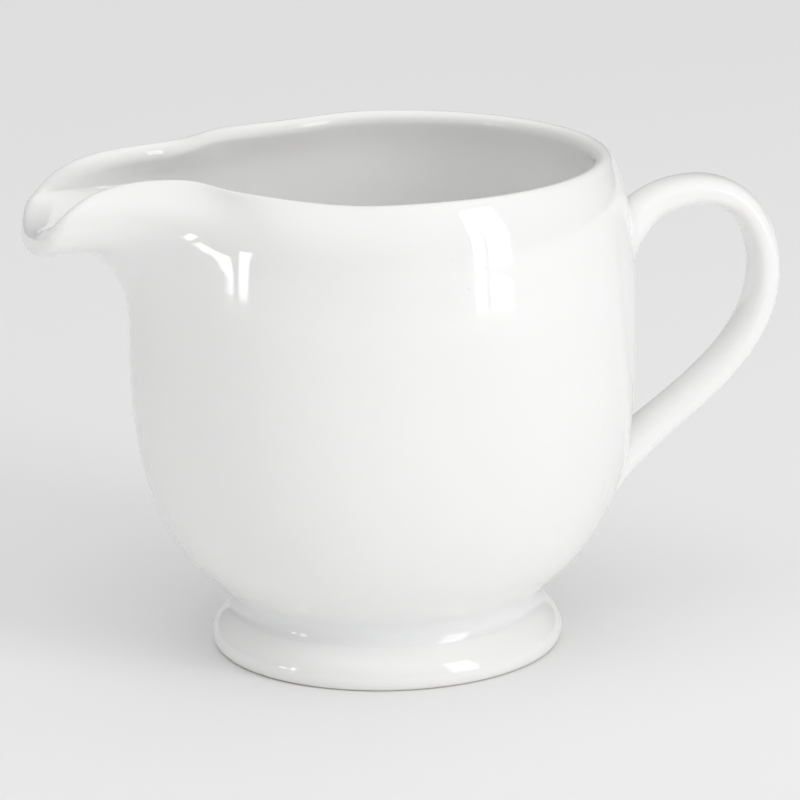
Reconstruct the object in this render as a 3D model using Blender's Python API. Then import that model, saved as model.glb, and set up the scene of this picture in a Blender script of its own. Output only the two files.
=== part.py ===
"""A porcelain cream jug: a footed round bowl, a broad pouring lip and a strap handle.

The jug stands on Z = 0.  The handle points to +X and the lip to -X, and the
jug is its own mirror image across the XZ plane.  The origin is below the
middle of the jug's overall length, so the bowl's turning axis, which the
empty "jug_axis" marks, lies a little towards the lip.

The clay pieces are made separately and joined with slip, which is liquid clay
that fires as hard as they do.  Each slip joint is a thin piece of its own
between the two it joins, with a hair gap on either side.
"""

import math

import bmesh
import bpy
import numpy as np

# ---------------------------------------------------------------------------
# Driving dimensions, in metres.  Pairs are (distance from the axis, height).
# ---------------------------------------------------------------------------

RIM_HEIGHT = 0.0801
WALL = 0.00295
# How far the handle and the lip reach from the bowl's axis; the curves below
# end there.
HANDLE_REACH = 0.0650
LIP_REACH = 0.0570
AXIS_X = (LIP_REACH - HANDLE_REACH) / 2

GAP = 0.0003
SLIP_THICKNESS = 0.0006
SEAT = GAP + SLIP_THICKNESS + GAP

# The middle of the bowl's wall, from the centre of its floor to the rim.
BOWL_CURVE = [
    (0.0000, 0.0062),
    (0.0195, 0.0062),
    (0.0260, 0.0121),
    (0.0322, 0.0174),
    (0.0370, 0.0269),
    (0.0390, 0.0385),
    (0.0391, 0.0500),
    (0.0393, 0.0600),
    (0.0382, 0.0680),
    (0.0379, 0.0745),
    (0.0357, RIM_HEIGHT - WALL / 2),
]

# The pouring lip's middle line, one point for each 15 degrees from its tip
# round to the plain rim: (reach from the axis, half width, height).
LIP_CURVE = [
    (0.0552, 0.0000, 0.0686),
    (0.0538, 0.0168, 0.0715),
    (0.0468, 0.0118, 0.0792),
    (0.0296, 0.0132, 0.0796),
    (0.0250, 0.0245, 0.0796),
    (0.0101, 0.0335, 0.0780),
]
# How much of the lip's throw and of its drop the wall takes up at each of the
# top points of BOWL_CURVE, the rim being the last: (throw in line with the
# lip's tip, throw beside it, drop).
LIP_SHARES = [
    (-0.03, 0.00, 0.00),
    (0.30, 0.00, 0.06),
    (0.77, 0.10, 0.42),
    (1.00, 1.00, 1.00),
]
# How many control points round from the tip the first throw gives way to the second.
LIP_SHARE_SPREAD = 1.95
# The wall thickens into a bead at the lip's tip, over a number of control
# points round from the tip and down from the rim.
LIP_TIP_THICKNESS = 0.0044
LIP_TIP_SPREAD = 3.0
LIP_TIP_DEPTH = 2.0

# The opening in the bowl that the lip piece fills, seen along the X axis:
# a round bottom with upright sides.
NOTCH_HALF_WIDTH = 0.0220
NOTCH_CENTRE_HEIGHT = 0.0700
NOTCH_START = -0.0080
CUTTER_OVERSHOOT = 0.0200

# The foot.  The ogee outside and the hollow inside are Bezier curves, each
# with two points that pull it; the stand ring is an inner and an outer radius.
FOOT_WAIST_RADIUS = 0.0247
FOOT_WAIST_PULL = (0.0250, 0.0058)
FOOT_SKIRT_PULL = (0.0285, 0.0047)
FOOT_SKIRT = (0.0285, 0.0018)
STAND_RING = (0.0254, 0.0274)
FOOT_INNER_PULLS = ((0.0246, 0.0000), (0.0243, 0.0030))
FOOT_INNER_TOP_RADIUS = 0.0206
# How far the foot's slip stops short of the hollow and stands proud outside.
FOOT_SLIP_SHORT = 0.0002
FOOT_SLIP_PROUD = 0.0001

# The handle's middle line from its upper root to its lower root.
HANDLE_CURVE = [
    (0.0365, 0.0612),
    (0.0421, 0.0706),
    (0.0530, 0.0730),
    (0.0614, 0.0689),
    (0.0640, 0.0550),
    (0.0566, 0.0425),
    (0.0417, 0.0316),
    (0.0340, 0.0232),
]
# Half sizes of the strap along its length, from 0 at the upper root to 1 at
# the lower root: (place, outer side, finger side, half width).
STRAP_SIZES = [
    (0.00, 0.0028, 0.0044, 0.0062),
    (0.08, 0.0026, 0.0031, 0.0057),
    (0.18, 0.0024, 0.0023, 0.0050),
    (0.50, 0.0024, 0.0024, 0.0050),
    (0.78, 0.0024, 0.0024, 0.0052),
    (0.92, 0.0027, 0.0027, 0.0058),
    (1.00, 0.0034, 0.0034, 0.0064),
]
STRAP_SQUARENESS = 2.4
# How many times the strap's own size the slip under its roots is.
SLIP_BEAD = 1.06

# How finely the curved shapes are divided.
TURNS = 72
LIP_COLUMNS_PER_POINT = 4
PLAIN_COLUMNS_PER_POINT = 3
WALL_STEPS = [0, 1, 1.5, 2, 2.5, 3, 3.5, 4, 4.5, 5, 6, 6.5, 7, 7.5, 8, 8.5, 9, 9.5, 10]
RIM_STEPS = 4
NOTCH_STEPS = 24
SEAT_STEPS = 3
# The foot's seat is looked up on the bowl's profile below this wall step.
SEAT_TOP_STEP = 4.0
SEAT_SAMPLES = 400
OGEE_STEPS = 8
SKIRT_STEPS = 3
HOLLOW_STEPS = 5
STRAP_RINGS = 36
STRAP_SIDES = 20
ROOT_RINGS = 8
SHARP_EDGE = math.radians(40)

GLAZED_WHITE = (0.90, 0.91, 0.90)
GLAZE_ROUGHNESS = 0.06
SLIP_WHITE = (0.86, 0.84, 0.80)
SLIP_ROUGHNESS = 0.30
CERAMIC_IOR = 1.5


# ---------------------------------------------------------------------------
# Curves
# ---------------------------------------------------------------------------

def spline_weights(u):
    """The four weights of a uniform cubic B-spline at u, and their slopes."""
    weights = np.array([(1 - u) ** 3, 3 * u**3 - 6 * u**2 + 4, -3 * u**3 + 3 * u**2 + 3 * u + 1, u**3])
    slopes = np.array([-3 * (1 - u) ** 2, 9 * u**2 - 12 * u, -9 * u**2 + 6 * u + 3, 3 * u**2])
    return weights / 6, slopes / 6


def open_spline(points, at):
    """The point and the direction of travel at "at", counted in points, along an open curve.

    The curve starts on the first point and ends on the last.
    """
    points = np.asarray(points, float)
    first = 2 * points[0] - points[1]
    last = 2 * points[-1] - points[-2]
    padded = np.concatenate([[first], points, [last]])
    span = min(int(at), len(points) - 2)
    weights, slopes = spline_weights(at - span)
    four = padded[span:span + 4]
    return np.tensordot(weights, four, 1), np.tensordot(slopes, four, 1)


def closed_spline(points, at):
    """The point and the direction of travel at "at" along a closed curve."""
    span = int(math.floor(at))
    weights, slopes = spline_weights(at - span)
    four = np.array([points[(span + k) % len(points)] for k in (-1, 0, 1, 2)])
    return np.tensordot(weights, four, 1), np.tensordot(slopes, four, 1)


def bezier(a, b, c, d, u):
    """A point on a cubic Bezier curve."""
    points = np.array([a, b, c, d], float)
    shares = np.array([(1 - u) ** 3, 3 * u * (1 - u) ** 2, 3 * u**2 * (1 - u), u**3])
    return shares @ points


def smooth_step(x):
    """Rises from 0 at x = 0 to 1 at x = 1 with level ends."""
    x = min(max(x, 0.0), 1.0)
    return x * x * (3 - 2 * x)


# ---------------------------------------------------------------------------
# The bowl's wall with its lip
# ---------------------------------------------------------------------------

POINTS_AROUND = 24
POINT_ANGLE = 2 * math.pi / POINTS_AROUND


def lip_share(row, steps_from_tip):
    """How much of the lip's throw and of its drop one control point of the wall takes up."""
    tip_throw, end_throw, drop = LIP_SHARES[row]
    along = smooth_step(steps_from_tip / LIP_SHARE_SPREAD)
    return tip_throw + (end_throw - tip_throw) * along, drop


def wall_cage():
    """Control points of the wall's middle surface, [row from the floor up][column round from the lip].

    A plain column lies on its circle; a closed cubic B-spline through points on
    a circle runs a little inside them, which "swell" makes up for.
    """
    swell = 3 / (2 + math.cos(POINT_ANGLE))
    rim_radius = BOWL_CURVE[-1][0] * swell
    rim_height = BOWL_CURVE[-1][1]
    first_shared_row = len(BOWL_CURVE) - len(LIP_SHARES)
    cage = np.zeros((len(BOWL_CURVE), POINTS_AROUND, 3))
    for row, (radius, height) in enumerate(BOWL_CURVE):
        for column in range(POINTS_AROUND):
            angle = column * POINT_ANGLE
            outward = np.array([-math.cos(angle), -math.sin(angle), 0.0])
            cage[row, column] = outward * radius * swell + [0, 0, height]
            steps_from_tip = min(column, POINTS_AROUND - column)
            if row < first_shared_row or steps_from_tip >= len(LIP_CURVE):
                continue
            side = -1 if column <= POINTS_AROUND // 2 else 1
            reach, half_width, lip_height = LIP_CURVE[steps_from_tip]
            shift = np.array([-reach, side * half_width, lip_height])
            shift -= outward * rim_radius + [0, 0, rim_height]
            throw, drop = lip_share(row - first_shared_row, steps_from_tip)
            cage[row, column] += shift * [throw, throw, drop]
    return cage


def wall_point(cage, step, column):
    """The middle surface's point, outward normal and upward direction."""
    rows = [open_spline(cage[:, j % POINTS_AROUND], step) for j in range(POINTS_AROUND)]
    point, around = closed_spline([r[0] for r in rows], column)
    upward, _ = closed_spline([r[1] for r in rows], column)
    if step == 0:
        return point, np.array([0.0, 0.0, -1.0]), upward
    normal = np.cross(around, upward)
    normal /= np.linalg.norm(normal)
    return point, normal, upward / np.linalg.norm(upward)


def half_wall(step, column):
    """Half the wall's thickness, which grows into a bead at the lip's tip."""
    from_tip = min(column, POINTS_AROUND - column)
    from_rim = WALL_STEPS[-1] - step
    share = smooth_step(1 - from_tip / LIP_TIP_SPREAD) * smooth_step(1 - from_rim / LIP_TIP_DEPTH)
    return WALL / 2 + (LIP_TIP_THICKNESS - WALL) / 2 * share


def wall_columns():
    """Places round the wall, closer together along the lip."""
    lip_points = len(LIP_CURVE)
    columns = []
    for point in range(POINTS_AROUND):
        on_lip = point < lip_points or point >= POINTS_AROUND - lip_points
        count = LIP_COLUMNS_PER_POINT if on_lip else PLAIN_COLUMNS_PER_POINT
        columns += [point + k / count for k in range(count)]
    return columns


def wall_rings():
    """Rings of points from the floor's underside up, over the rim and down to the floor inside."""
    cage = wall_cage()
    columns = wall_columns()
    outer = []
    inner = []
    for step in WALL_STEPS:
        found = [(wall_point(cage, step, column), half_wall(step, column)) for column in columns]
        outer.append([point + normal * half for (point, normal, _), half in found])
        inner.append([point - normal * half for (point, normal, _), half in found])
    rim = []
    for k in range(1, RIM_STEPS):
        turn = math.pi * k / RIM_STEPS
        ring = []
        for (point, normal, upward), half in found:
            ring.append(point + half * (math.cos(turn) * normal + math.sin(turn) * upward))
        rim.append(ring)
    return outer + rim + inner[::-1]


# ---------------------------------------------------------------------------
# Making objects
# ---------------------------------------------------------------------------

def clear_scene():
    for old in list(bpy.data.objects):
        bpy.data.objects.remove(old, do_unlink=True)


def make_material(name, colour, roughness):
    material = bpy.data.materials.new(name)
    material.use_nodes = True
    shader = material.node_tree.nodes["Principled BSDF"]
    shader.inputs["Base Color"].default_value = (*colour, 1.0)
    shader.inputs["Roughness"].default_value = roughness
    shader.inputs["Metallic"].default_value = 0.0
    shader.inputs["IOR"].default_value = CERAMIC_IOR
    return material


def add_object(name, bm, parent):
    """Puts a bmesh into the scene as a smooth-shaded object."""
    bmesh.ops.recalc_face_normals(bm, faces=bm.faces)
    mesh = bpy.data.meshes.new(name)
    bm.to_mesh(mesh)
    bm.free()
    mesh.shade_smooth()
    mesh.set_sharp_from_angle(angle=SHARP_EDGE)
    obj = bpy.data.objects.new(name, mesh)
    bpy.context.scene.collection.objects.link(obj)
    obj.parent = parent
    return obj


def ringed_solid(name, rings, parent):
    """A closed body through rings of points; a ring that has shrunk to a point closes an end,
    and any other end is closed with a flat face."""
    bm = bmesh.new()
    loops = []
    for ring in rings:
        spread = np.ptp(np.asarray(ring), axis=0).max()
        if spread < 1e-7:
            loops.append([bm.verts.new(ring[0])])
        else:
            loops.append([bm.verts.new(p) for p in ring])
    for low, high in zip(loops, loops[1:]):
        count = max(len(low), len(high))
        for k in range(count):
            n = (k + 1) % count
            if len(low) == 1:
                bm.faces.new((low[0], high[n], high[k]))
            elif len(high) == 1:
                bm.faces.new((low[k], low[n], high[0]))
            else:
                bm.faces.new((low[k], low[n], high[n], high[k]))
    for end in (loops[0], loops[-1]):
        if len(end) > 1:
            bm.faces.new(end)
    return add_object(name, bm, parent)


def turned_solid(name, profile, parent):
    """Spins a closed (radius, height) outline about the axis with the Screw modifier."""
    bm = bmesh.new()
    corners = [bm.verts.new((radius, 0.0, height)) for radius, height in profile]
    for a, b in zip(corners, corners[1:] + corners[:1]):
        bm.edges.new((a, b))
    obj = add_object(name, bm, parent)
    screw = obj.modifiers.new("turning", "SCREW")
    screw.angle = 2 * math.pi
    screw.steps = TURNS
    screw.render_steps = TURNS
    screw.use_merge_vertices = True
    screw.merge_threshold = 0.00001
    screw.use_smooth_shade = True
    return obj


def as_cutter(obj):
    obj.hide_render = True
    obj.display_type = "WIRE"
    return obj


def combine(obj, tool, operation):
    boolean = obj.modifiers.new(tool.name, "BOOLEAN")
    boolean.solver = "EXACT"
    boolean.operation = operation
    boolean.object = tool


# ---------------------------------------------------------------------------
# Cutters
# ---------------------------------------------------------------------------

def bowl_outside(step, spread):
    """A point of the bowl's outer profile, moved outward by "spread"."""
    (radius, height), (run, rise) = open_spline(BOWL_CURVE, step)
    length = math.hypot(run, rise)
    away = WALL / 2 + spread
    return radius + away * rise / length, height - away * run / length


def bowl_core(name, spread, parent):
    """A solid block with the bowl's outer shape, grown by "spread"."""
    rings = []
    for step in WALL_STEPS:
        radius, height = bowl_outside(step, spread)
        ring = []
        for k in range(TURNS):
            angle = 2 * math.pi * k / TURNS
            ring.append((radius * math.cos(angle), radius * math.sin(angle), height))
        rings.append(ring)
    return as_cutter(ringed_solid(name, rings, parent))


def notch_block(name, spread, parent):
    """A bar along X through the lip's side of the bowl, with the notch's outline."""
    half_width = NOTCH_HALF_WIDTH + spread
    top = RIM_HEIGHT + CUTTER_OVERSHOOT
    outline = [(half_width, top)]
    for k in range(NOTCH_STEPS + 1):
        angle = -math.pi * k / NOTCH_STEPS
        outline.append((half_width * math.cos(angle), NOTCH_CENTRE_HEIGHT + half_width * math.sin(angle)))
    outline.append((-half_width, top))
    ends = (-LIP_REACH - CUTTER_OVERSHOOT, NOTCH_START)
    rings = [[(x, y, z) for y, z in outline] for x in ends]
    return as_cutter(ringed_solid(name, rings, parent))


# ---------------------------------------------------------------------------
# The pieces
# ---------------------------------------------------------------------------

def make_bowl_and_lip(axis, glaze):
    """The bowl, its pouring lip and the slip between them, cut from one wall."""
    rings = wall_rings()
    notch = notch_block("notch", 0.0, axis)
    notch_slip_inside = notch_block("notch_slip_inside", GAP, axis)
    notch_slip_outside = notch_block("notch_slip_outside", GAP + SLIP_THICKNESS, axis)
    notch_in_bowl = notch_block("notch_in_bowl", SEAT, axis)

    bowl = ringed_solid("bowl", rings, axis)
    combine(bowl, notch_in_bowl, "DIFFERENCE")
    spout = ringed_solid("spout", rings, axis)
    combine(spout, notch, "INTERSECT")
    slip = ringed_solid("spout_slip_joint", rings, axis)
    combine(slip, notch_slip_outside, "INTERSECT")
    combine(slip, notch_slip_inside, "DIFFERENCE")
    for piece in (bowl, spout, slip):
        piece.data.materials.append(glaze[piece.name])


def seat_line(spread, low_radius, high_radius):
    """Points "spread" below the bowl's underside, from one radius out to another."""
    steps = np.linspace(0.0, SEAT_TOP_STEP, SEAT_SAMPLES)
    profile = np.array([bowl_outside(step, spread) for step in steps])
    radii = np.linspace(low_radius, high_radius, SEAT_STEPS + 1)
    return list(zip(radii, np.interp(radii, profile[:, 0], profile[:, 1])))


def make_foot(axis, glaze):
    """A hollow ring with an ogee outside, standing on a flat ground ring."""
    seat = seat_line(SEAT, FOOT_INNER_TOP_RADIUS, FOOT_WAIST_RADIUS)
    outside = []
    for k in range(OGEE_STEPS):
        outside.append(bezier(seat[-1], FOOT_WAIST_PULL, FOOT_SKIRT_PULL, FOOT_SKIRT, k / OGEE_STEPS))
    inner_radius, outer_radius = STAND_RING
    skirt_radius, skirt_height = FOOT_SKIRT
    for k in range(SKIRT_STEPS + 1):
        angle = math.pi / 2 * k / SKIRT_STEPS
        radius = outer_radius + (skirt_radius - outer_radius) * math.cos(angle)
        outside.append((radius, skirt_height * (1 - math.sin(angle))))
    inside = []
    for k in range(HOLLOW_STEPS):
        inside.append(bezier((inner_radius, 0.0), *FOOT_INNER_PULLS, seat[0], k / HOLLOW_STEPS))
    foot = turned_solid("foot", outside + inside + seat[:-1], axis)
    foot.data.materials.append(glaze["foot"])

    slip_radii = (FOOT_INNER_TOP_RADIUS + FOOT_SLIP_SHORT, FOOT_WAIST_RADIUS + FOOT_SLIP_PROUD)
    top = seat_line(GAP, *slip_radii)
    bottom = seat_line(GAP + SLIP_THICKNESS, *slip_radii)
    slip = turned_solid("foot_slip_joint", top + bottom[::-1], axis)
    slip.data.materials.append(glaze["foot_slip_joint"])


def strap_sizes(place):
    """Half sizes at a place along the strap, eased between the listed ones."""
    for low, high in zip(STRAP_SIZES, STRAP_SIZES[1:]):
        if place <= high[0]:
            share = smooth_step((place - low[0]) / (high[0] - low[0]))
            return [a + (b - a) * share for a, b in zip(low[1:], high[1:])]
    return list(STRAP_SIZES[-1][1:])


def strap_ring(place, grow):
    """One rounded section of the strap, square to its middle line."""
    (reach, height), (run, rise) = open_spline(HANDLE_CURVE, place * (len(HANDLE_CURVE) - 1))
    length = math.hypot(run, rise)
    out_x, out_z = -rise / length, run / length
    outer, finger, half_width = (grow * size for size in strap_sizes(place))
    ring = []
    for k in range(STRAP_SIDES):
        angle = 2 * math.pi * k / STRAP_SIDES
        c, s = math.cos(angle), math.sin(angle)
        c = math.copysign(abs(c) ** (2 / STRAP_SQUARENESS), c)
        s = math.copysign(abs(s) ** (2 / STRAP_SQUARENESS), s)
        depth = (outer if s > 0 else finger) * s
        ring.append((reach + out_x * depth, half_width * c, height + out_z * depth))
    return ring


def make_handle(axis, glaze):
    """The strap, and a thin bead of slip under each of its roots."""
    clay_edge = bowl_core("handle_seat", SEAT, axis)
    slip_outside = bowl_core("handle_slip_outside", GAP + SLIP_THICKNESS, axis)
    slip_inside = bowl_core("handle_slip_inside", GAP, axis)
    places = [k / STRAP_RINGS for k in range(STRAP_RINGS + 1)]

    handle = ringed_solid("handle", [strap_ring(p, 1.0) for p in places], axis)
    combine(handle, clay_edge, "DIFFERENCE")
    handle.data.materials.append(glaze["handle"])

    roots = {
        "handle_upper_slip_joint": places[:ROOT_RINGS],
        "handle_lower_slip_joint": places[-ROOT_RINGS:],
    }
    for name, part in roots.items():
        slip = ringed_solid(name, [strap_ring(p, SLIP_BEAD) for p in part], axis)
        combine(slip, slip_outside, "INTERSECT")
        combine(slip, slip_inside, "DIFFERENCE")
        slip.data.materials.append(glaze[name])


def main():
    clear_scene()
    axis = bpy.data.objects.new("jug_axis", None)
    axis.location = (AXIS_X, 0.0, 0.0)
    bpy.context.scene.collection.objects.link(axis)

    glaze = {}
    for name in ("bowl", "spout", "foot", "handle"):
        glaze[name] = make_material(name + "_glaze", GLAZED_WHITE, GLAZE_ROUGHNESS)
    for joint in ("spout", "foot", "handle_upper", "handle_lower"):
        name = joint + "_slip_joint"
        glaze[name] = make_material(name + "_finish", SLIP_WHITE, SLIP_ROUGHNESS)

    make_bowl_and_lip(axis, glaze)
    make_foot(axis, glaze)
    make_handle(axis, glaze)


main()
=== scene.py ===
"""The looks of a porcelain cream jug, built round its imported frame.

The white bowl and its pouring lip share one unbroken glaze, so one skin stands
for both.  The foot and the handle are pieces of their own, and a soft fillet of
glazed slip follows each line where they meet the bowl.
"""

import math

import bmesh
import bpy
import numpy as np
from mathutils import Matrix, Quaternion, Vector


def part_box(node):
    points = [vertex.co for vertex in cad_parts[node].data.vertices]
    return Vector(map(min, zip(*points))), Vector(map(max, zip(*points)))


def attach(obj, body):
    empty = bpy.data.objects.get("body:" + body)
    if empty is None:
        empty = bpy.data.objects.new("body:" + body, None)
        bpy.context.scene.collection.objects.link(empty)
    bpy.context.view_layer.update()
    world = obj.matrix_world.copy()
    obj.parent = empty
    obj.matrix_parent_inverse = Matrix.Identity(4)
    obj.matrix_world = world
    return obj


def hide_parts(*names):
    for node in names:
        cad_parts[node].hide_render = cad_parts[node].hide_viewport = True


# ---------------------------------------------------------------------------
# The frame, and the sizes that the design repeats from the solids, in metres
# ---------------------------------------------------------------------------

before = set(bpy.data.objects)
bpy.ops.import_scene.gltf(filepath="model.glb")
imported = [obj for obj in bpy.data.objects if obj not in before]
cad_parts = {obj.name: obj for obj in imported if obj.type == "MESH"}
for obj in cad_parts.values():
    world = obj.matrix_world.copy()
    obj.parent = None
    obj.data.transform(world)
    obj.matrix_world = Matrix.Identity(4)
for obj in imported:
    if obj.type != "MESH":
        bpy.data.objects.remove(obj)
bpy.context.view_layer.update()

FOOT_LOW, FOOT_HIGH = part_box("foot")
AXIS = Vector(((FOOT_LOW[0] + FOOT_HIGH[0]) / 2, 0.0, 0.0))
RIM_HEIGHT = 0.0801
WALL = 0.00295

# The middle of the bowl's wall, from the centre of its floor to the rim:
# (distance from the axis, height).
BOWL_CURVE = [
    (0.0000, 0.0062),
    (0.0195, 0.0062),
    (0.0260, 0.0121),
    (0.0322, 0.0174),
    (0.0370, 0.0269),
    (0.0390, 0.0385),
    (0.0391, 0.0500),
    (0.0393, 0.0600),
    (0.0382, 0.0680),
    (0.0379, 0.0745),
    (0.0357, RIM_HEIGHT - WALL / 2),
]
# The pouring lip's middle line, one point for each 15 degrees from its tip
# round to the plain rim: (reach from the axis, half width, height).
LIP_CURVE = [
    (0.0552, 0.0000, 0.0686),
    (0.0538, 0.0168, 0.0715),
    (0.0468, 0.0118, 0.0792),
    (0.0296, 0.0132, 0.0796),
    (0.0250, 0.0245, 0.0796),
    (0.0101, 0.0335, 0.0780),
]
# How much of the lip's throw and of its drop the wall takes up at each of the
# top points of BOWL_CURVE, the rim being the last: (throw in line with the
# lip's tip, throw beside it, drop).
LIP_SHARES = [
    (-0.03, 0.00, 0.00),
    (0.30, 0.00, 0.06),
    (0.77, 0.10, 0.42),
    (1.00, 1.00, 1.00),
]
# Over how many control points round from the tip the first throw gives way to
# the second.
LIP_SHARE_SPREAD = 1.95
# The wall thickens into a bead at the lip's tip, over a number of control
# points round from the tip and down from the rim.
LIP_TIP_THICKNESS = 0.0044
LIP_TIP_SPREAD = 3.0
LIP_TIP_DEPTH = 2.0

# The foot's outline as (radius, height): an ogee from the waist down to the
# skirt, the ground ring it stands on, and the curve up inside.
FOOT_WAIST = (0.0247, 0.0090)
FOOT_WAIST_PULL = (0.0250, 0.0058)
FOOT_SKIRT_PULL = (0.0285, 0.0047)
FOOT_SKIRT = (0.0285, 0.0018)
STAND_RING = (0.0254, 0.0274)
FOOT_INNER_TOP = 0.0206
FOOT_INNER_ROUND = (0.0246, 0.0)
FOOT_INNER_PULL = (0.0243, 0.0030)

# The middle of the handle's strap, from its upper root to its lower one:
# (distance from the axis, height).
HANDLE_CURVE = [
    (0.0365, 0.0612),
    (0.0421, 0.0706),
    (0.0530, 0.0730),
    (0.0614, 0.0689),
    (0.0640, 0.0550),
    (0.0566, 0.0425),
    (0.0417, 0.0316),
    (0.0340, 0.0232),
]
# Half sizes of the strap: (place along it, outer side, finger side, half width).
STRAP_SIZES = [
    (0.00, 0.0028, 0.0044, 0.0062),
    (0.08, 0.0026, 0.0031, 0.0057),
    (0.18, 0.0024, 0.0023, 0.0050),
    (0.50, 0.0024, 0.0024, 0.0050),
    (0.78, 0.0024, 0.0024, 0.0052),
    (0.92, 0.0027, 0.0027, 0.0058),
    (1.00, 0.0034, 0.0034, 0.0064),
]
STRAP_SQUARENESS = 2.4

# Control points round the wall, counted from the lip's tip.
POINTS_AROUND = 24
POINT_ANGLE = 2 * math.pi / POINTS_AROUND

# ---------------------------------------------------------------------------
# What only the looks need
# ---------------------------------------------------------------------------

# The size of the seams' fillets, how deep the foot's and the handle's ends are
# buried in the bowl, and how far the seams' hidden edges reach into the pieces
# they join.  STRAP_AIM is the height over the bowl of the point in the middle
# of a root that the seam's edge turns towards.
FOOT_SEAM_RADIUS = 0.0026
HANDLE_SEAM_RADIUS = 0.0012
BURIED = 0.0006
SEAM_IN_FOOT = 0.0004
SEAM_UNDER_BOWL = 0.0003
SEAM_IN_STRAP = 0.0005
SEAM_AT_ROOT = 0.0004
SEAM_IN_WALL = 0.0002
STRAP_AIM = 0.001

# How finely the curves are cut up.  The first PROFILE_WIDENS samples of the
# bowl's profile lie below its widest part, and ROOT_SHARE of the strap is
# searched for each of its roots.
LIP_COLUMNS_PER_POINT = 14
PLAIN_COLUMNS_PER_POINT = 8
ROWS_PER_POINT = 8
RIM_STEPS = 14
PROFILE_SAMPLES = 1201
PROFILE_WIDENS = 600
TURNS = 192
OGEE_POINTS = 40
SKIRT_POINTS = 14
INNER_POINTS = 30
RING_STEPS = 7
FILLET_STEPS = 12
STRAP_RINGS = 120
STRAP_SIDES = 56
ROOT_SAMPLES = 700
ROOT_SHARE = 0.35

# Edges sharper than this stay sharp when the rest is shaded smooth.
SHARP_EDGE = math.radians(50)
# What counts as the floor's centre along the wall, and as a ring shrunk to a point.
POLE_STEP = 1e-9
POINT_SIZE = 1e-7

# The glaze: its colours, the band below the rim where it is thin, the reach of
# the painted reflection at the waist (a faint bluish, slightly darker tint), and
# the light that goes through the clay under it.
GLAZE_WHITE = (0.955, 0.955, 0.948)
GLAZE_WARM = (0.952, 0.947, 0.934)
# A painted reflection: the faint bluish, slightly darker tint laid on the glaze about the waist.
PAINTED_BLUE_REFLECTION = (0.942, 0.950, 0.948)
GLAZE_IOR = 1.5
THIN_BELOW_RIM = 0.0022
PAINTED_REFLECTION_REACH = 0.0045
BODY_GLOW = 0.12
BODY_GLOW_COLOURS = (1.0, 0.85, 0.7)
BODY_GLOW_DEPTH = 0.0012
# The clay of the stand ring, ground bare up to a soft edge above the table.
BARE_CLAY = (0.74, 0.71, 0.66)
BARE_CLAY_LIGHT = (0.84, 0.81, 0.76)
BARE_ROUGHNESS = 0.75
BARE_HEIGHT = 0.00025
BARE_EDGE = 0.00012

FLOOR_SIZE = 6.0
FLOOR_DARK = (0.91, 0.91, 0.91)
FLOOR_LIGHT = (0.93, 0.93, 0.93)
FLOOR_ROUGHNESS = 0.8

# The camera's angles are in radians, and its target is (distance along the
# jug, height).
CAMERA_AZIMUTH = math.radians(-9.0)
CAMERA_ELEVATION = 0.269
CAMERA_ROLL = math.radians(-0.96)
CAMERA_DISTANCE = 0.683
CAMERA_TARGET = (0.0027, 0.0398)
CAMERA_CLIP = 0.01
LENS = 190.9

# The soft boxes: (name, azimuth and elevation in degrees, width and height,
# power), all facing a point above the middle of the jug's foot.
SOFT_BOX_AIM = 0.05
SOFT_BOX_DISTANCE = 1.0
SOFT_BOXES = [
    ("right_narrow", 44.5, 18, (0.10, 0.78), 1.1),
    ("right_wide", 54.5, 18, (0.20, 0.78), 2.1),
    ("left_narrow", -62.5, 5, (0.08, 0.24), 0.42),
    ("left_wide", -70, 1.6, (0.09, 0.13), 0.24),
]
# Soft glows in the sky: (azimuth, elevation and reach in degrees, strength).
SKY_BASE = 0.10
SKY_GLOWS = [
    (45, 30, 50, 0.26),
    (15, 12, 40, 0.18),
    (-50, 35, 55, 0.25),
    (0, 55, 45, 0.45),
    (0, 90, 60, 0.76),
    (-135, 45, 60, 0.24),
    (135, 45, 60, 0.19),
    (180, 20, 50, 0.14),
]


# ---------------------------------------------------------------------------
# Curves
# ---------------------------------------------------------------------------

def spline_weights(u):
    """The four weights of a uniform cubic B-spline at u, and their slopes."""
    weights = np.array([
        (1 - u) ** 3,
        3 * u**3 - 6 * u**2 + 4,
        -3 * u**3 + 3 * u**2 + 3 * u + 1,
        u**3,
    ])
    slopes = np.array([
        -3 * (1 - u) ** 2,
        9 * u**2 - 12 * u,
        -9 * u**2 + 6 * u + 3,
        3 * u**2,
    ])
    return weights / 6, slopes / 6


def open_matrices(count, places):
    """Weights, and their slopes, that take "count" points to places on an open curve
    through the two end points."""
    pad = np.zeros((count + 2, count))
    pad[1:-1] = np.eye(count)
    pad[0, :2] = (2, -1)
    pad[-1, -2:] = (-1, 2)
    where = np.zeros((len(places), count + 2))
    slope = np.zeros_like(where)
    for row, place in enumerate(places):
        span = min(max(int(place), 0), count - 2)
        where[row, span:span + 4], slope[row, span:span + 4] = spline_weights(place - span)
    return where @ pad, slope @ pad


def closed_matrices(count, places):
    """The same for a closed curve."""
    where = np.zeros((len(places), count))
    slope = np.zeros_like(where)
    for row, place in enumerate(places):
        span = int(math.floor(place))
        columns = [(span + k) % count for k in (-1, 0, 1, 2)]
        where[row, columns], slope[row, columns] = spline_weights(place - span)
    return where, slope


def open_curve(points, places):
    """Points and directions of travel along an open curve."""
    where, slope = open_matrices(len(points), places)
    points = np.asarray(points, float)
    return where @ points, slope @ points


def bezier(a, b, c, d, places):
    """Points of a cubic curve from a to d, pulled by b and c."""
    u = np.asarray(places)[:, None]
    a, b, c, d = (np.asarray(p, float) for p in (a, b, c, d))
    return (1 - u) ** 3 * a + 3 * u * (1 - u) ** 2 * b + 3 * u**2 * (1 - u) * c + u**3 * d


def smooth_step(x):
    x = np.clip(x, 0.0, 1.0)
    return x * x * (3 - 2 * x)


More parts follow.
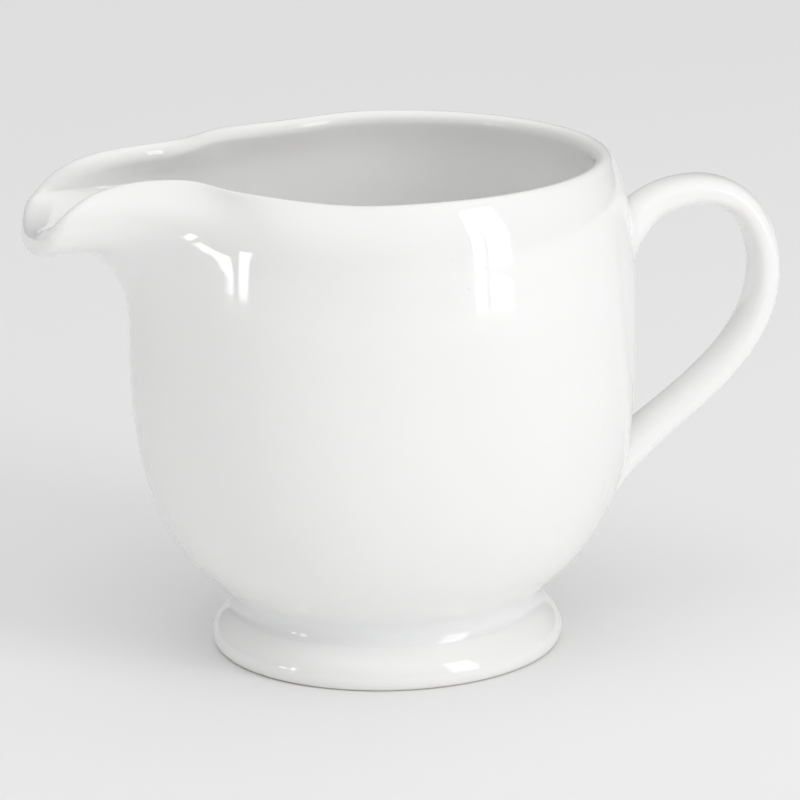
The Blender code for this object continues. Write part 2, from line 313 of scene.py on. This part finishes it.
def unit(v):
    return v / np.linalg.norm(v, axis=-1, keepdims=True)


# ---------------------------------------------------------------------------
# The wall of the bowl and its lip
# ---------------------------------------------------------------------------

def lip_share(row, steps_from_tip):
    """How much of the lip's throw and of its drop one control point of the wall takes up."""
    tip_throw, end_throw, drop = LIP_SHARES[row]
    along = smooth_step(steps_from_tip / LIP_SHARE_SPREAD)
    return tip_throw + (end_throw - tip_throw) * along, drop


def wall_cage():
    """Control points of the wall's middle surface, as
    [row from the floor up][column round from the lip]."""
    swell = 3 / (2 + math.cos(POINT_ANGLE))
    rim_radius, rim_height = BOWL_CURVE[-1]
    first_shared_row = len(BOWL_CURVE) - len(LIP_SHARES)
    cage = np.zeros((len(BOWL_CURVE), POINTS_AROUND, 3))
    for row, (radius, height) in enumerate(BOWL_CURVE):
        for column in range(POINTS_AROUND):
            angle = column * POINT_ANGLE
            outward = np.array([-math.cos(angle), -math.sin(angle), 0.0])
            cage[row, column] = outward * radius * swell + [0, 0, height]
            steps_from_tip = min(column, POINTS_AROUND - column)
            if row < first_shared_row or steps_from_tip >= len(LIP_CURVE):
                continue
            side = -1 if column <= POINTS_AROUND // 2 else 1
            reach, half_width, lip_height = LIP_CURVE[steps_from_tip]
            shift = np.array([-reach, side * half_width, lip_height])
            shift -= outward * rim_radius * swell + [0, 0, rim_height]
            throw, drop = lip_share(row - first_shared_row, steps_from_tip)
            cage[row, column] += shift * [throw, throw, drop]
    return cage


def wall_columns():
    """Places round the wall, closer together on the lip than elsewhere."""
    lip_points = len(LIP_CURVE)
    columns = []
    for point in range(POINTS_AROUND):
        on_lip = point < lip_points or point >= POINTS_AROUND - lip_points
        count = LIP_COLUMNS_PER_POINT if on_lip else PLAIN_COLUMNS_PER_POINT
        columns += [point + k / count for k in range(count)]
    return np.array(columns)


def wall_surface(steps, columns):
    """Middle surface, outward normal, upward direction and half thickness, as [step][column]."""
    cage = wall_cage()
    up, up_slope = open_matrices(len(BOWL_CURVE), steps)
    round_, round_slope = closed_matrices(POINTS_AROUND, columns)
    point = np.einsum("sr,rcx,jc->sjx", up, cage, round_)
    around = np.einsum("sr,rcx,jc->sjx", up, cage, round_slope)
    upward = unit(np.einsum("sr,rcx,jc->sjx", up_slope, cage, round_))
    at_pole = steps[:, None, None] <= POLE_STEP
    around = np.where(at_pole, np.array([0.0, 1.0, 0.0]), around)
    normal = np.cross(around, upward)
    normal = np.where(at_pole, np.array([0.0, 0.0, -1.0]), normal)
    from_tip = np.minimum(columns, POINTS_AROUND - columns)
    nearness = smooth_step(1 - from_tip / LIP_TIP_SPREAD)[None, :]
    height_share = smooth_step(1 - (steps[-1] - steps) / LIP_TIP_DEPTH)[:, None]
    half = WALL / 2 + (LIP_TIP_THICKNESS - WALL) / 2 * nearness * height_share
    return point, unit(normal), upward, half[..., None]


def wall_rings():
    """Rings from the floor's underside up, over the rim, and down to the floor inside."""
    last = len(BOWL_CURVE) - 1
    steps = np.linspace(0, last, last * ROWS_PER_POINT + 1)
    point, normal, upward, half = wall_surface(steps, wall_columns())
    outer = point + normal * half
    inner = point - normal * half
    rim = []
    for k in range(1, RIM_STEPS):
        turn = math.pi * k / RIM_STEPS
        away = math.cos(turn) * normal[-1] + math.sin(turn) * upward[-1]
        rim.append(point[-1] + half[-1] * away)
    return list(outer) + rim + list(inner[::-1])


def bowl_outside(places):
    """The bowl's plain outer profile: points and outward normals, as (radius, height)."""
    points, travel = open_curve(BOWL_CURVE, places)
    travel = unit(travel)
    normals = np.column_stack([travel[:, 1], -travel[:, 0]])
    return points + normals * WALL / 2, normals


PROFILE, PROFILE_NORMALS = bowl_outside(np.linspace(0, len(BOWL_CURVE) - 1, PROFILE_SAMPLES))


def nearest_on_bowl(point):
    """(signed distance from the bowl's plain outside, nearest surface point, its normal)."""
    radius = math.hypot(point[0], point[1])
    outward = np.array([point[0], point[1], 0.0]) / radius
    apart = np.array([radius, point[2]]) - PROFILE
    k = int((apart**2).sum(axis=1).argmin())
    distance = float(apart[k] @ PROFILE_NORMALS[k])
    normal = outward * PROFILE_NORMALS[k][0] + [0, 0, PROFILE_NORMALS[k][1]]
    return distance, point - normal * distance, normal


# ---------------------------------------------------------------------------
# Making pieces
# ---------------------------------------------------------------------------

def add_piece(name, bm):
    """A smooth object on the jug's axis, its steepest edges left sharp."""
    bmesh.ops.recalc_face_normals(bm, faces=bm.faces)
    mesh = bpy.data.meshes.new(name)
    bm.to_mesh(mesh)
    bm.free()
    mesh.shade_smooth()
    mesh.set_sharp_from_angle(angle=SHARP_EDGE)
    piece = bpy.data.objects.new(name, mesh)
    piece.location = AXIS
    bpy.context.scene.collection.objects.link(piece)
    return piece


def skin(name, rings, closed_rows=False):
    """A surface through rings of points.  A ring that has shrunk to a point closes an end,
    and closed_rows joins the last ring to the first."""
    bm = bmesh.new()
    loops = []
    for ring in rings:
        if np.ptp(np.asarray(ring), axis=0).max() < POINT_SIZE:
            loops.append([bm.verts.new(ring[0])])
        else:
            loops.append([bm.verts.new(p) for p in ring])
    pairs = list(zip(loops, loops[1:]))
    if closed_rows:
        pairs.append((loops[-1], loops[0]))
    for low, high in pairs:
        count = max(len(low), len(high))
        for k in range(count):
            n = (k + 1) % count
            if len(low) == 1:
                bm.faces.new((low[0], high[n], high[k]))
            elif len(high) == 1:
                bm.faces.new((low[k], low[n], high[0]))
            else:
                bm.faces.new((low[k], low[n], high[n], high[k]))
    if not closed_rows:
        for end in (loops[0], loops[-1]):
            if len(end) > 1:
                bm.faces.new(end)
    return add_piece(name, bm)


def turned(name, profile):
    """A ring of the closed (radius, height) outline, turned about the axis."""
    angles = np.arange(TURNS) * 2 * math.pi / TURNS
    across, along = np.cos(angles), np.sin(angles)
    rings = []
    for radius, height in profile:
        rings.append(np.column_stack([radius * across, radius * along, np.full(TURNS, height)]))
    return skin(name, rings, closed_rows=True)


# ---------------------------------------------------------------------------
# The foot and its seam
# ---------------------------------------------------------------------------

def profile_index(radius):
    """Where the bowl's outer profile, on its way out from the axis, reaches a radius."""
    return int(np.searchsorted(PROFILE[:PROFILE_WIDENS, 0], radius))


def under_bowl(radius, depth):
    """The point "depth" inside the bowl's underside at a radius."""
    k = profile_index(radius)
    return PROFILE[k] - PROFILE_NORMALS[k] * depth


def foot_outside():
    """The ogee from the waist down to the skirt, and round under to the stand ring."""
    places = np.linspace(0, 1, OGEE_POINTS)
    ogee = bezier(FOOT_WAIST, FOOT_WAIST_PULL, FOOT_SKIRT_PULL, FOOT_SKIRT, places)
    turn = np.linspace(0, math.pi / 2, SKIRT_POINTS)[1:]
    low = np.column_stack([
        STAND_RING[1] + (FOOT_SKIRT[0] - STAND_RING[1]) * np.cos(turn),
        FOOT_SKIRT[1] * (1 - np.sin(turn)),
    ])
    return np.vstack([ogee, low])


def foot_inside():
    """The curve from the stand ring's inner edge up to the bowl's underside."""
    top = under_bowl(FOOT_INNER_TOP, 0.0)
    places = np.linspace(0, 1, INNER_POINTS)
    return bezier((STAND_RING[0], 0.0), FOOT_INNER_ROUND, FOOT_INNER_PULL, top, places)


def make_foot():
    """The foot, its flat ring on the table and its top edge buried in the bowl."""
    outside = foot_outside()
    inside = foot_inside()
    buried = [under_bowl(FOOT_INNER_TOP, BURIED), under_bowl(FOOT_WAIST[0] - BURIED, BURIED)]
    radii = np.linspace(STAND_RING[1], STAND_RING[0], RING_STEPS + 1)[1:-1]
    land = np.column_stack([radii, np.zeros(len(radii))])
    return turned("foot", np.vstack([outside, land, inside, buried]))


def fillet(wall_end, corner, clay_end):
    """A soft inside corner from a point on the bowl to a point on the joined clay."""
    u = np.linspace(0, 1, FILLET_STEPS + 1)[:, None]
    a, b, c = (np.asarray(p, float) for p in (wall_end, corner, clay_end))
    return (1 - u) ** 2 * a + 2 * u * (1 - u) * b + u**2 * c


def leave(outline, distance):
    """The point of an outline at a distance from its start, and the direction back
    towards the start."""
    k = int((np.linalg.norm(outline - outline[0], axis=1) < distance).sum())
    return outline[k], unit(outline[k - 1] - outline[k + 1])


def smooth_corner(wall, clay):
    """A fillet that runs smoothly into two outlines, which start where they meet."""
    wall_end, from_wall = leave(wall, FOOT_SEAM_RADIUS)
    clay_end, from_clay = leave(clay, FOOT_SEAM_RADIUS)
    across = np.array([-from_clay[1], from_clay[0]])
    corner = wall_end + from_wall * ((clay_end - wall_end) @ across) / (from_wall @ across)
    return fillet(wall_end, corner, clay_end)


def make_foot_seam():
    """The slip between the bowl and the foot, with its fillets outside and inside the foot."""
    waist = profile_index(FOOT_WAIST[0])
    inner_top = profile_index(FOOT_INNER_TOP)
    outer = smooth_corner(PROFILE[waist:], foot_outside())
    inner = smooth_corner(PROFILE[:inner_top + 1][::-1], foot_inside()[::-1])[::-1]
    into_foot = np.array([SEAM_IN_FOOT, 0.0])
    into_bowl = np.array([0.0, SEAM_UNDER_BOWL])
    buried = [outer[-1] - into_foot, inner[0] + into_foot]
    covered = [inner[-1] + into_bowl, outer[0] + into_bowl - into_foot]
    return turned("foot_seam", np.vstack([outer, buried, inner, covered]))


# ---------------------------------------------------------------------------
# The handle and its seams
# ---------------------------------------------------------------------------

def strap_sizes(places):
    """Half sizes of the strap at places along it, as columns: outer side, finger side,
    half width."""
    table = np.array(STRAP_SIZES)
    span = np.clip(np.searchsorted(table[:, 0], places, side="right") - 1, 0, len(table) - 2)
    start, end = table[span], table[span + 1]
    share = smooth_step((places - start[:, 0]) / (end[:, 0] - start[:, 0]))[:, None]
    return start[:, 1:] + (end[:, 1:] - start[:, 1:]) * share


def strap_surface(places):
    """Rounded sections of the strap, square to its middle line: [place][side]."""
    middle, travel = open_curve(HANDLE_CURVE, places * (len(HANDLE_CURVE) - 1))
    travel = unit(travel)
    sizes = strap_sizes(places)
    angles = np.arange(STRAP_SIDES) * 2 * math.pi / STRAP_SIDES
    power = 2 / STRAP_SQUARENESS
    c = np.sign(np.cos(angles)) * np.abs(np.cos(angles)) ** power
    s = np.sign(np.sin(angles)) * np.abs(np.sin(angles)) ** power
    depth = np.where(s > 0, sizes[:, :1], sizes[:, 1:2]) * s
    rings = np.zeros((len(places), STRAP_SIDES, 3))
    rings[..., 0] = middle[:, :1] - travel[:, 1:] * depth
    rings[..., 1] = sizes[:, 2:] * c
    rings[..., 2] = middle[:, 1:] + travel[:, :1] * depth
    return rings


def root_line(at_start):
    """For each side of the strap: where it meets the bowl, and the point a seam's width
    along the strap."""
    start, end = (0, ROOT_SHARE) if at_start else (1, 1 - ROOT_SHARE)
    rings = strap_surface(np.linspace(start, end, ROOT_SAMPLES))
    meets = []
    clear = []
    for side in range(STRAP_SIDES):
        line = rings[:, side]
        distances = [nearest_on_bowl(p)[0] for p in line]
        k = next(i for i, d in enumerate(distances) if d > 0)
        share = distances[k] / (distances[k] - distances[k - 1])
        meet = line[k] + (line[k - 1] - line[k]) * share
        along = np.linalg.norm(line[k:] - meet, axis=1)
        meets.append(meet)
        clear.append(line[k + int((along < HANDLE_SEAM_RADIUS).sum())])
    return np.array(meets), np.array(clear)


def make_handle():
    """The strap, its ends buried in the bowl's wall."""
    rings = strap_surface(np.linspace(0, 1, STRAP_RINGS + 1))
    keep = []
    for ring in rings:
        depth = max(nearest_on_bowl(p)[0] for p in ring)
        if depth > -BURIED:
            keep.append(ring)
    moved = []
    for ring in keep:
        new = []
        for p in ring:
            distance, _, normal = nearest_on_bowl(p)
            new.append(p + normal * max(0.0, -BURIED - distance))
        moved.append(new)
    return skin("handle", moved)


def make_handle_seam(name, at_start):
    """A collar of glazed slip that rounds the corner between the bowl and one root of
    the strap."""
    meets, clear = root_line(at_start)
    centre = meets.mean(axis=0)
    strips = []
    for meet, strap_end in zip(meets, clear):
        _, _, normal = nearest_on_bowl(meet)
        outward = meet - centre
        outward -= normal * (outward @ normal)
        wall_end = meet + unit(outward) * HANDLE_SEAM_RADIUS
        _, wall_end, wall_normal = nearest_on_bowl(wall_end)
        strip = list(fillet(wall_end, meet, strap_end))
        into_strap = unit(centre + normal * STRAP_AIM - strap_end) * SEAM_IN_STRAP
        in_wall = wall_end - wall_normal * SEAM_IN_WALL
        at_root = meet - normal * SEAM_AT_ROOT
        strips.append([in_wall] + strip + [strap_end + into_strap, at_root])
    rings = [list(ring) for ring in zip(*strips)]
    return skin(name, rings, closed_rows=True)


# ---------------------------------------------------------------------------
# Materials
# ---------------------------------------------------------------------------

class Nodes:
    """Short calls for laying out a node tree."""

    def __init__(self, tree):
        self.tree = tree

    def add(self, kind, **settings):
        node = self.tree.nodes.new(kind)
        for key, value in settings.items():
            setattr(node, key, value)
        return node

    def link(self, a, b):
        self.tree.links.new(a, b)

    def noise(self, vector, scale, detail, rough):
        node = self.add("ShaderNodeTexNoise")
        node.inputs["Scale"].default_value = scale
        node.inputs["Detail"].default_value = detail
        node.inputs["Roughness"].default_value = rough
        self.link(vector, node.inputs["Vector"])
        return node.outputs["Fac"]

    def ramp(self, fac, given, wanted):
        """Turns the given (low, high) of a value into the wanted one, with soft ends."""
        node = self.add("ShaderNodeMapRange", interpolation_type="SMOOTHSTEP")
        node.inputs["From Min"].default_value, node.inputs["From Max"].default_value = given
        node.inputs["To Min"].default_value, node.inputs["To Max"].default_value = wanted
        self.link(fac, node.inputs["Value"])
        return node.outputs["Result"]

    def mix(self, fac, a, b):
        node = self.add("ShaderNodeMix", data_type="RGBA")
        self.link(fac, node.inputs["Factor"])
        for socket, value in ((node.inputs["A"], a), (node.inputs["B"], b)):
            if isinstance(value, tuple):
                socket.default_value = (*value, 1.0)
            else:
                self.link(value, socket)
        return node.outputs["Result"]

    def math(self, operation, a, b):
        node = self.add("ShaderNodeMath", operation=operation)
        for socket, value in zip(node.inputs, (a, b)):
            if isinstance(value, (int, float)):
                socket.default_value = value
            else:
                self.link(value, socket)
        return node.outputs["Value"]

    def bump(self, height, distance, strength, normal=None):
        node = self.add("ShaderNodeBump")
        node.inputs["Strength"].default_value = strength
        node.inputs["Distance"].default_value = distance
        self.link(height, node.inputs["Height"])
        if normal is not None:
            self.link(normal, node.inputs["Normal"])
        return node.outputs["Normal"]


def start_material(name):
    """A new material, its node layout and its shader."""
    material = bpy.data.materials.new(name)
    material.use_nodes = True
    n = Nodes(material.node_tree)
    return material, n, n.tree.nodes["Principled BSDF"]


def glaze_material(name, painted_reflection_height=None, bare_height=None):
    """Clear gloss glaze over white porcelain.

    The clay's white drifts very slightly in tone, the glaze ripples faintly and
    carries a few pinholes, it is thinner and warmer at the rim, a painted
    reflection tints it a little bluer and darker about the waist height it is
    given, and below "bare_height" the clay is ground bare.
    """
    material, n, shader = start_material(name)
    where = n.add("ShaderNodeTexCoord").outputs["Object"]
    split = n.add("ShaderNodeSeparateXYZ")
    n.link(where, split.inputs["Vector"])
    height = split.outputs["Z"]

    drift = n.noise(where, scale=28, detail=3, rough=0.55)
    colour = n.mix(n.ramp(drift, (0.40, 0.68), (0.0, 0.55)), GLAZE_WHITE, GLAZE_WARM)
    thin = n.ramp(height, (RIM_HEIGHT - THIN_BELOW_RIM, RIM_HEIGHT), (0.0, 0.35))
    colour = n.mix(thin, colour, GLAZE_WARM)
    # Painted reflection: a faint bluish, slightly darker tint about the waist, fading out over its
    # reach.
    if painted_reflection_height is not None:
        away = n.math("ABSOLUTE", n.math("SUBTRACT", height, painted_reflection_height), 0)
        colour = n.mix(n.ramp(away, (0.0, PAINTED_REFLECTION_REACH), (0.8, 0.0)), colour, PAINTED_BLUE_REFLECTION)

    speck = n.noise(where, scale=900, detail=2, rough=0.4)
    pinhole = n.ramp(speck, (0.735, 0.79), (0.0, 1.0))
    ripple = n.noise(where, scale=115, detail=2, rough=0.45)
    swell = n.noise(where, scale=34, detail=1, rough=0.4)
    normal = n.bump(swell, distance=0.0009, strength=0.06)
    normal = n.bump(ripple, distance=0.0003, strength=0.035, normal=normal)
    normal = n.bump(pinhole, distance=-0.00006, strength=0.5, normal=normal)

    wear = n.noise(where, scale=60, detail=4, rough=0.6)
    rough = n.ramp(wear, (0.35, 0.7), (0.035, 0.085))
    if bare_height is not None:
        grain = n.noise(where, scale=2600, detail=4, rough=0.7)
        bare = n.ramp(height, (bare_height, bare_height + BARE_EDGE), (1.0, 0.0))
        colour = n.mix(bare, colour, n.mix(grain, BARE_CLAY, BARE_CLAY_LIGHT))
        blend = n.add("ShaderNodeMix", data_type="FLOAT")
        n.link(bare, blend.inputs["Factor"])
        n.link(rough, blend.inputs["A"])
        blend.inputs["B"].default_value = BARE_ROUGHNESS
        rough = blend.outputs["Result"]
        raised_grain = n.math("MULTIPLY", grain, bare)
        normal = n.bump(raised_grain, distance=0.00008, strength=0.6, normal=normal)

    n.link(colour, shader.inputs["Base Color"])
    n.link(rough, shader.inputs["Roughness"])
    n.link(normal, shader.inputs["Normal"])
    shader.inputs["IOR"].default_value = GLAZE_IOR
    shader.inputs["Subsurface Weight"].default_value = BODY_GLOW
    shader.inputs["Subsurface Radius"].default_value = BODY_GLOW_COLOURS
    shader.inputs["Subsurface Scale"].default_value = BODY_GLOW_DEPTH
    return material


def floor_material():
    """A matt pale grey with a hardly visible drift."""
    material, n, shader = start_material("pale_floor")
    where = n.add("ShaderNodeTexCoord").outputs["Object"]
    drift = n.noise(where, scale=3, detail=4, rough=0.5)
    n.link(n.mix(drift, FLOOR_DARK, FLOOR_LIGHT), shader.inputs["Base Color"])
    shader.inputs["Roughness"].default_value = FLOOR_ROUGHNESS
    return material


# ---------------------------------------------------------------------------
# Putting it together
# ---------------------------------------------------------------------------

def build_jug():
    """Makes the pieces, glazes them, hides the imported parts they stand for and hangs each from the
    root body.
    """
    body = skin("bowl_and_lip", wall_rings())
    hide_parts("bowl", "spout", "spout_slip_joint")
    foot = make_foot()
    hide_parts("foot")
    foot_seam = make_foot_seam()
    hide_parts("foot_slip_joint")
    handle = make_handle()
    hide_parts("handle")
    upper = make_handle_seam("handle_upper_seam", True)
    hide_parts("handle_upper_slip_joint")
    lower = make_handle_seam("handle_lower_seam", False)
    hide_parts("handle_lower_slip_joint")

    waist = FOOT_WAIST[1]
    # The bowl, the foot and the foot's seam carry the painted bluish reflection about the waist.
    body.data.materials.append(glaze_material("bowl_glaze", painted_reflection_height=waist))
    ground_foot = glaze_material("foot_glaze", painted_reflection_height=waist, bare_height=BARE_HEIGHT)
    foot.data.materials.append(ground_foot)
    foot_seam.data.materials.append(glaze_material("foot_seam_glaze", painted_reflection_height=waist))
    strap_glaze = glaze_material("handle_glaze")
    for piece in (handle, upper, lower):
        piece.data.materials.append(strap_glaze)

    for piece in (body, foot, foot_seam, handle, upper, lower):
        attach(piece, "root")


def build_camera():
    """Stands in front of the jug, a little towards the lip and above the rim."""
    forward = Vector((0, math.cos(CAMERA_ELEVATION), -math.sin(CAMERA_ELEVATION)))
    place = Vector((CAMERA_TARGET[0], 0, CAMERA_TARGET[1])) - forward * CAMERA_DISTANCE
    swing = Matrix.Rotation(CAMERA_AZIMUTH, 3, "Z")
    data = bpy.data.cameras.new("camera")
    data.lens = LENS
    data.clip_start = CAMERA_CLIP
    camera = bpy.data.objects.new("camera", data)
    camera.location = AXIS + swing @ place
    camera.rotation_mode = "QUATERNION"
    aim = (swing @ forward).to_track_quat("-Z", "Y")
    camera.rotation_quaternion = aim @ Quaternion((0, 0, 1), CAMERA_ROLL)
    bpy.context.scene.collection.objects.link(camera)
    bpy.context.scene.camera = camera


def towards(azimuth, elevation):
    """A direction from the jug, its azimuth counted in degrees from the camera's side to
    the right."""
    angle = CAMERA_AZIMUTH - math.pi / 2 + math.radians(azimuth)
    rise = math.radians(elevation)
    return Vector((math.cos(angle) * math.cos(rise), math.sin(angle) * math.cos(rise), math.sin(rise)))


def soft_box(name, azimuth, elevation, size, power):
    """A rectangular light that faces the middle of the jug."""
    offset = towards(azimuth, elevation)
    data = bpy.data.lights.new(name, "AREA")
    data.shape = "RECTANGLE"
    data.size, data.size_y = size
    data.energy = power
    light = bpy.data.objects.new(name, data)
    light.location = AXIS + Vector((0, 0, SOFT_BOX_AIM)) + offset * SOFT_BOX_DISTANCE
    light.rotation_mode = "QUATERNION"
    light.rotation_quaternion = offset.to_track_quat("Z", "Y")
    light.visible_camera = False
    bpy.context.scene.collection.objects.link(light)


def build_sky():
    """A white studio seen as a sky: an even base and a few broad glows without edges."""
    world = bpy.data.worlds.new("studio")
    world.use_nodes = True
    n = Nodes(world.node_tree)
    direction = n.add("ShaderNodeTexCoord").outputs["Generated"]
    strength = SKY_BASE
    for azimuth, elevation, reach, glow in SKY_GLOWS:
        near = n.add("ShaderNodeVectorMath", operation="DOT_PRODUCT")
        n.link(direction, near.inputs[0])
        near.inputs[1].default_value = towards(azimuth, elevation)
        edge = math.cos(math.radians(reach))
        level = n.ramp(near.outputs["Value"], (edge, 1.0), (0.0, glow))
        strength = n.math("ADD", level, strength)
    background = n.tree.nodes["Background"]
    background.inputs["Color"].default_value = (1, 1, 1, 1)
    n.link(strength, background.inputs["Strength"])
    bpy.context.scene.world = world


def build_studio():
    """The floor, the soft boxes and the sky."""
    bpy.ops.mesh.primitive_plane_add(size=FLOOR_SIZE, location=(0, 0, 0))
    floor = bpy.context.object
    floor.name = "floor"
    floor.data.materials.append(floor_material())

    for box in SOFT_BOXES:
        soft_box(*box)
    build_sky()
    bpy.context.scene.view_settings.view_transform = "Standard"


build_camera()
build_jug()
build_studio()
